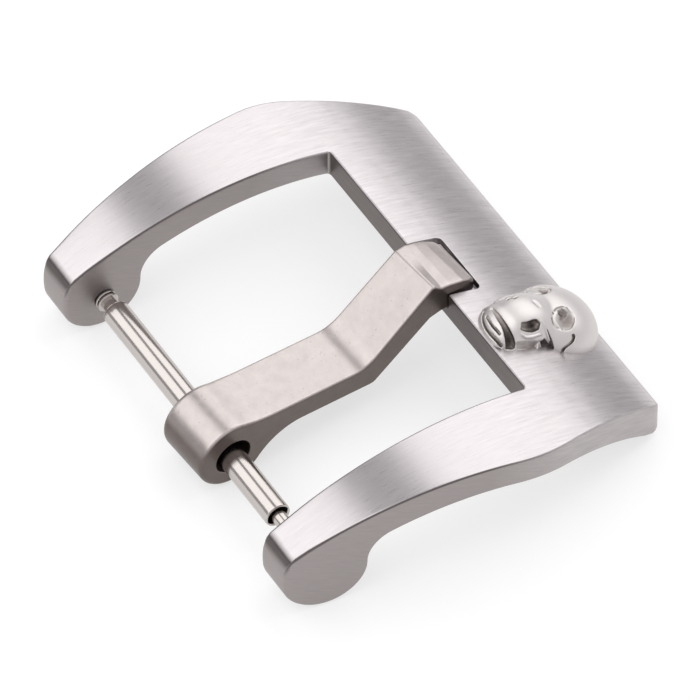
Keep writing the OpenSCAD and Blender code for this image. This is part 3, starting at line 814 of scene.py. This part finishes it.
def castSatin(look=castLook):
    material, tree, shader = newMaterial("castSatinSteel")
    place = addNode(tree, "TexCoord")
    at = place.outputs["Object"]
    grain = addNode(tree, "TexNoise", {"Vector": at, "Scale": 1 / look["grain"], "Detail": 3})
    pits = addNode(tree, "TexVoronoi", {"Vector": at, "Scale": 1 / look["pit"]})
    low, high = look["pitReach"]
    hollow = addNode(tree, "MapRange", {"Value": pits.outputs[0], "From Min": low, "From Max": high})
    clouds = addNode(tree, "TexNoise", {"Vector": at, "Scale": 1 / look["cloud"], "Detail": 5,
                                        "Roughness": 0.6})
    facing = addNode(tree, "SeparateXYZ", {"Vector": place.outputs["Normal"]})
    low, high = look["topFrom"]
    top = addNode(tree, "MapRange", {"Value": facing.outputs["Z"], "From Min": low, "From Max": high},
                  interpolation_type="SMOOTHSTEP")
    # painted shade: the sides darker than the top
    shadedColor = addNode(tree, "MixRGB", {"Fac": top.outputs[0], "Color1": toLinear(look["shadedSideColor"]),
                                      "Color2": toLinear(look["color"])})
    low, high = look["clouds"]
    shade = addNode(tree, "MapRange", {"Value": clouds.outputs[0], "From Min": 0.3, "From Max": 0.7,
                                       "To Min": low, "To Max": high})
    specks = addNode(tree, "MapRange", {"Value": hollow.outputs[0], "To Min": look["speck"], "To Max": 1})
    shade = addNode(tree, "Math", {0: shade.outputs[0], 1: specks.outputs[0]}, operation="MULTIPLY")
    tone = addNode(tree, "MixRGB", {"Fac": 1, "Color1": shadedColor.outputs[0], "Color2": shade.outputs[0]},
                   blend_type="MULTIPLY")
    tree.links.new(tone.outputs[0], shader.inputs["Base Color"])
    shader.inputs["Metallic"].default_value = 1
    low, high = look["roughness"] - look["unevenness"], look["roughness"] + look["unevenness"]
    rough = addNode(tree, "MapRange", {"Value": grain.outputs[0], "From Min": 0.3, "From Max": 0.7,
                                       "To Min": low, "To Max": high})
    tree.links.new(rough.outputs[0], shader.inputs["Roughness"])
    fine = addNode(tree, "Bump", {"Height": grain.outputs[0], "Distance": look["grainDepth"]})
    deep = addNode(tree, "Bump", {"Height": hollow.outputs[0], "Distance": look["pitDepth"],
                                  "Strength": look["pitStrength"], "Normal": fine.outputs[0]})
    tree.links.new(deep.outputs[0], shader.inputs["Normal"])
    return material


skullLook = {   # cast steel, blasted bright; the carved hollows are darker, partly a dark patina and partly painted shade, the deepest darkest
    "color": "D2CECC", "patinaAndShadeColor": "8C8581", "deepPatinaAndShadeColor": "2F2A28", "roughness": 0.44,
    "faint": 0.03, "shallow": 0.26, "deepest": 0.48,   # millimetres below the skin
    "ragged": 0.05, "grain": 0.00016, "grainDepth": 2.5e-6,
}


def blastedCasting(look=skullLook):
    material, tree, shader = newMaterial("blastedCasting")
    place = addNode(tree, "TexCoord")
    depth = addNode(tree, "Attribute", attribute_name="hollow")
    grain = addNode(tree, "TexNoise", {"Vector": place.outputs["Object"], "Scale": 1 / look["grain"],
                                       "Detail": 4})
    ragged = addNode(tree, "MapRange", {"Value": grain.outputs[0], "To Min": -look["ragged"],
                                        "To Max": look["ragged"]})
    uneven = addNode(tree, "Math", {0: depth.outputs["Fac"], 1: ragged.outputs[0]}, operation="ADD")
    patinaAndShade = addNode(tree, "MapRange", {"Value": uneven.outputs[0], "From Min": look["faint"],
                                        "From Max": look["shallow"]})
    deepPatinaAndShade = addNode(tree, "MapRange", {"Value": uneven.outputs[0], "From Min": look["shallow"],
                                            "From Max": look["deepest"]})
    shadedColor = toLinear(look["color"])
    # painted shade together with patina: darker the deeper a spot lies below the uncarved skin
    for share, color in ((patinaAndShade, "patinaAndShadeColor"), (deepPatinaAndShade, "deepPatinaAndShadeColor")):
        node = addNode(tree, "MixRGB", {"Fac": share.outputs[0], "Color1": shadedColor,
                                        "Color2": toLinear(look[color])})
        shadedColor = node.outputs[0]
    tree.links.new(shadedColor, shader.inputs["Base Color"])
    shader.inputs["Metallic"].default_value = 1
    shader.inputs["Roughness"].default_value = look["roughness"]
    bump = addNode(tree, "Bump", {"Height": grain.outputs[0], "Distance": look["grainDepth"]})
    tree.links.new(bump.outputs[0], shader.inputs["Normal"])
    return material


polishedLook = {   # drawn and polished stainless: near mirror, faint turning rings
    "color": "C3BDB9", "roughest": 0.21, "smoothest": 0.14,
    "ring": 0.00015, "span": 1 / 90, "ringDepth": 2e-7,
}


def polishedStainless(look=polishedLook):
    material, tree, shader = newMaterial("polishedStainless")
    place = addNode(tree, "TexCoord")
    stretched = addNode(tree, "Mapping", {"Vector": place.outputs["Object"], "Scale": (
        1 / look["ring"], 1 / look["span"], 1 / look["span"])})
    rings = addNode(tree, "TexNoise", {"Vector": stretched.outputs[0], "Scale": 1, "Detail": 2})
    shader.inputs["Base Color"].default_value = toLinear(look["color"])
    shader.inputs["Metallic"].default_value = 1
    rough = addNode(tree, "MapRange", {"Value": rings.outputs[0], "From Min": 0.3, "From Max": 0.7,
                                       "To Min": look["smoothest"], "To Max": look["roughest"]})
    tree.links.new(rough.outputs[0], shader.inputs["Roughness"])
    bump = addNode(tree, "Bump", {"Height": rings.outputs[0], "Distance": look["ringDepth"]})
    tree.links.new(bump.outputs[0], shader.inputs["Normal"])
    return material


dullLook = {   # the tube's inside, painted dark as shade, and the coil's wire, drawn steel left as it came
    "tube": {"color": "35302E", "roughness": 0.6},
    "wire": {"color": "8E8886", "roughness": 0.35},
    "stain": 0.0003,
}


def dullSteel(name, look, size=dullLook["stain"]):
    material, tree, shader = newMaterial(name)
    place = addNode(tree, "TexCoord")
    stain = addNode(tree, "TexNoise", {"Vector": place.outputs["Object"], "Scale": 1 / size, "Detail": 3})
    shade = addNode(tree, "MapRange", {"Value": stain.outputs[0], "From Min": 0.3, "From Max": 0.7,
                                       "To Min": 0.85, "To Max": 1.1})
    tone = addNode(tree, "MixRGB", {"Fac": 1, "Color1": toLinear(look["color"]),
                                    "Color2": shade.outputs[0]}, blend_type="MULTIPLY")
    tree.links.new(tone.outputs[0], shader.inputs["Base Color"])
    shader.inputs["Metallic"].default_value = 1
    shader.inputs["Roughness"].default_value = look["roughness"]
    return material


def floorMaterial(s=studio):   # white to the camera and in reflections, and still takes the object's shadow
    material, tree, shader = newMaterial("paleFloor")
    tree.nodes.remove(shader)
    matte = addNode(tree, "BsdfDiffuse", {"Color": toLinear(s["floorColor"])})
    glow = addNode(tree, "Emission", {"Color": toLinear(s["floorColor"]), "Strength": 1})
    path = addNode(tree, "LightPath")
    seen = path.outputs["Is Camera Ray"]
    for ray in ("Is Glossy Ray", "Is Transmission Ray"):
        seen = addNode(tree, "Math", {0: seen, 1: path.outputs[ray]}, operation="MAXIMUM").outputs[0]
    share = addNode(tree, "Math", {0: seen, 1: s["floorGlow"]}, operation="MULTIPLY")
    both = addNode(tree, "MixShader", {0: share.outputs[0], 1: matte.outputs[0], 2: glow.outputs[0]})
    tree.links.new(both.outputs[0], tree.nodes["Material Output"].inputs["Surface"])
    return material


def addBrushing(obj, sideTilt=0.5):   # a UV map in millimetres: U across the brushed lines and V along them
    layer = obj.data.uv_layers.new(name="brushing")
    for face in obj.data.polygons:
        n = face.normal
        for loop in face.loop_indices:
            x, y, z = obj.data.vertices[obj.data.loops[loop].vertex_index].co * 1000
            if abs(n.x) > 0.7:
                layer.data[loop].uv = (z + sideTilt * y, y - sideTilt * z)
            else:
                layer.data[loop].uv = (z, x) if abs(n.y) > 0.75 else (x, y)


addBrushing(buckle)
brushed, cast, polished = brushedStainless(), castSatin(), polishedStainless()
buckle.data.materials.append(brushed)
tongue.data.materials.append(cast)
skull.data.materials.append(blastedCasting())
for piece in (tube, leftPin, rightPin):
    piece.data.materials.append(polished)
tube.data.materials.append(dullSteel("tubeInsidePaintedShade", dullLook["tube"]))
for face in tube.data.polygons:   # the inside, painted dark as shade: the lips' edges and the wall, with 0.01 mm to spare
    radius = math.hypot(face.center.y, face.center.z) * 1000 - 0.01
    if radius < barSizes["lipRadius"] or radius < barSizes["boreRadius"] and abs(face.normal.x) < 0.5:
        face.material_index = 1
floor.data.materials.append(floorMaterial())
wire = dullSteel("springWire", dullLook["wire"])
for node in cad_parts.values():
    for slotIndex in range(len(node.data.materials)):
        node.data.materials[slotIndex] = wire
print("materials:", len(bpy.data.materials))


def lightRoom(s=studio):   # the room is darker on the right, which draws the dark lines along the edges
    world = bpy.data.worlds.new("room")
    bpy.context.scene.world = world
    world.use_nodes = True
    tree = world.node_tree
    place = addNode(tree, "TexCoord")
    side = addNode(tree, "SeparateXYZ", {"Vector": place.outputs["Generated"]})
    glow = addNode(tree, "MapRange", {"Value": side.outputs["X"], "From Min": -0.45, "From Max": 0.35,
                                      "To Min": s["leftGlow"], "To Max": s["rightGlow"]})
    tree.nodes["Background"].inputs["Color"].default_value = toLinear(s["worldColor"])
    tree.links.new(glow.outputs[0], tree.nodes["Background"].inputs["Strength"])


lightRoom()
bpy.context.scene.view_settings.view_transform = "Standard"
